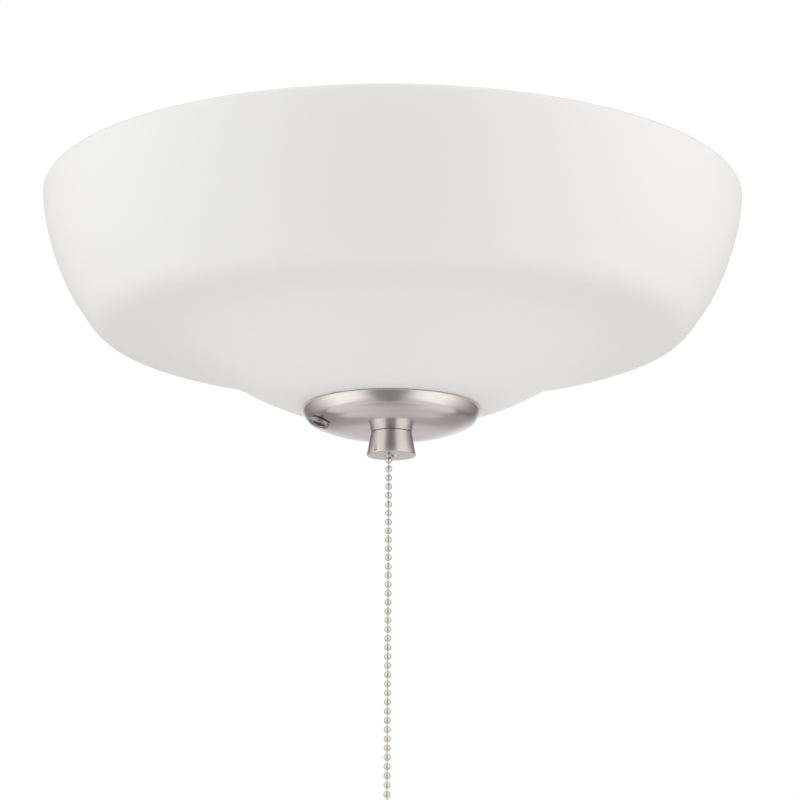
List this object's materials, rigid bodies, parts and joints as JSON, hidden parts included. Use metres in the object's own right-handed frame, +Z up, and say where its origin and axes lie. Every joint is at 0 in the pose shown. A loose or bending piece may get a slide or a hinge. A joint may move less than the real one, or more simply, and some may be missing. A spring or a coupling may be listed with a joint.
{
  "type": "ceiling fan light kit",
  "caption": "Ceiling fan light kit: an opal glass bowl held under a steel fitter by a pipe, a cap and a threaded finial, with a ball pull chain.",
  "frame": {"origin": "centre of the fitter's top face, which meets the fan's switch housing", "axes": "+Z up, out of the fitter's top face along the pipe's axis; -Y towards the near side of the picture; +X to its right"},
  "size_m": [0.33, 0.33, 0.3353],
  "materials": {
    "opal_glass": "satin opal white",
    "brushed_nickel": "brushed nickel plate",
    "plated_chain": "nickel plate",
    "coated_steel": "satin nickel-coloured coat",
    "zinc_plate": "zinc plate",
    "brass": "drawn brass",
    "lamp_cap_metal": "rolled thread",
    "phenolic": "moulded black",
    "rubber": "moulded",
    "silicone": "translucent white",
    "lamp_glass": "frosted"
  },
  "bodies": {
    "fitter": {"fitter_pan": "coated_steel", "wire_grommet": "rubber", "socket_plate": "coated_steel", "plate_screw_1": "zinc_plate", "plate_screw_2": "zinc_plate", "plate_screw_3": "zinc_plate", "centre_pipe": "zinc_plate", "pipe_nut_upper": "zinc_plate", "pipe_nut_lower": "zinc_plate", "lock_washer": "zinc_plate", "switch_bracket": "coated_steel", "bracket_screw_1": "zinc_plate", "bracket_screw_2": "zinc_plate", "pull_switch": "phenolic", "switch_neck_nut": "zinc_plate", "lampholder_1": "phenolic", "lampholder_2": "phenolic", "lampholder_3": "phenolic", "holder_screw_1": "zinc_plate", "holder_screw_2": "zinc_plate", "holder_screw_3": "zinc_plate", "screw_shell_1": "brass", "screw_shell_2": "brass", "screw_shell_3": "brass", "centre_contact_1": "brass", "centre_contact_2": "brass", "centre_contact_3": "brass", "lamp_base_1": "lamp_cap_metal", "lamp_base_2": "lamp_cap_metal", "lamp_base_3": "lamp_cap_metal", "lamp_envelope_1": "lamp_glass", "lamp_envelope_2": "lamp_glass", "lamp_envelope_3": "lamp_glass"},
    "bowl": {"glass_bowl": "opal_glass", "bowl_gasket": "silicone", "bottom_cap": "brushed_nickel", "outlet_ferrule": "brushed_nickel"},
    "finial": {"finial": "brushed_nickel"},
    "chain_draw": {"chain_upper": "plated_chain"},
    "chain_pivot": {"pivot_bead": "plated_chain"},
    "chain_hang": {"pull_chain": "plated_chain", "chain_bell": "brushed_nickel"}
  },
  "joints": [
    {"name": "bowl_lower", "type": "slide", "parent": "fitter", "child": "bowl", "axis": [0, 0, -1], "range_m": [0, 0.00564]},
    {"name": "finial_turn", "type": "hinge", "parent": "bowl", "child": "finial", "pos_m": [0, 0, -0.129], "axis": [0, 0, -1], "range_deg": [0, 2160]},
    {"name": "chain_pull", "type": "slide", "parent": "fitter", "child": "chain_draw", "axis": [0, 0, -1], "range_m": [0, 0.006], "stiffness_N_per_m": 600, "springref_m": -0.005},
    {"name": "chain_swing_front", "type": "hinge", "parent": "chain_draw", "child": "chain_pivot", "pos_m": [-0.0012, 0, -0.14116], "axis": [1, 0, 0], "range_deg": [-45, 45]},
    {"name": "chain_swing_side", "type": "hinge", "parent": "chain_pivot", "child": "chain_hang", "pos_m": [-0.0012, 0, -0.14116], "axis": [0, 1, 0], "range_deg": [-45, 45]}
  ],
  "couplings": [
    {"joint": "finial_turn", "follows": "bowl_lower", "rad_per_m": 6684.2}
  ]
}
